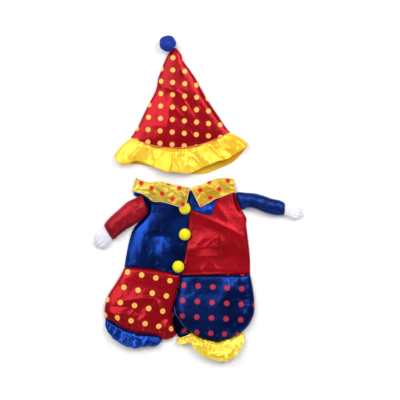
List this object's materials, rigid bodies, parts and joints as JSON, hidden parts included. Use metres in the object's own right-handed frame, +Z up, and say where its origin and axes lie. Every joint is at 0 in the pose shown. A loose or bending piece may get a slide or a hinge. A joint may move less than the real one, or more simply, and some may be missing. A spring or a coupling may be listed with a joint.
{
  "type": "dog clown costume",
  "caption": "Dog clown costume laid flat: a two-colour satin romper with dotted collar, stuffed sleeves, puffed legs and frilled cuffs, and a pointed frilled hat.",
  "frame": {"origin": "on the table, under the middle of the set's bounding box", "axes": "+X to the viewer's right across the romper, +Y from the romper's cuffs towards the hat's tip, +Z up from the table through the cloth"},
  "size_m": [0.3326, 0.5226, 0.0258],
  "materials": {
    "satin_red": "satin weave with a soft sheen",
    "satin_blue": "satin weave with a soft sheen",
    "satin_red_dotted": "red satin printed with yellow dots",
    "satin_blue_dotted": "blue satin printed with red dots",
    "satin_yellow": "satin weave with a soft sheen",
    "satin_yellow_dotted": "yellow satin printed with red dots",
    "jersey_white": "brushed jersey, matt",
    "pompom_yellow": "short soft pile",
    "pompom_blue": "short soft pile"
  },
  "bodies": {
    "root": {"front_blue": "satin_blue", "front_red": "satin_red", "back_blue": "satin_blue", "back_red": "satin_red", "leg_red": "satin_red_dotted", "leg_blue": "satin_blue_dotted", "cuff_blue": "satin_blue", "cuff_yellow": "satin_yellow", "collar_left": "satin_yellow_dotted", "collar_right": "satin_yellow_dotted", "collar_petal": "satin_blue", "sleeve_red": "satin_red", "sleeve_blue": "satin_blue", "glove_left": "jersey_white", "glove_right": "jersey_white", "button_1": "pompom_yellow", "button_2": "pompom_yellow", "button_3": "pompom_yellow", "hat_cone": "satin_red_dotted", "hat_frill": "satin_yellow", "hat_pompom": "pompom_blue"}
  },
  "joints": []
}
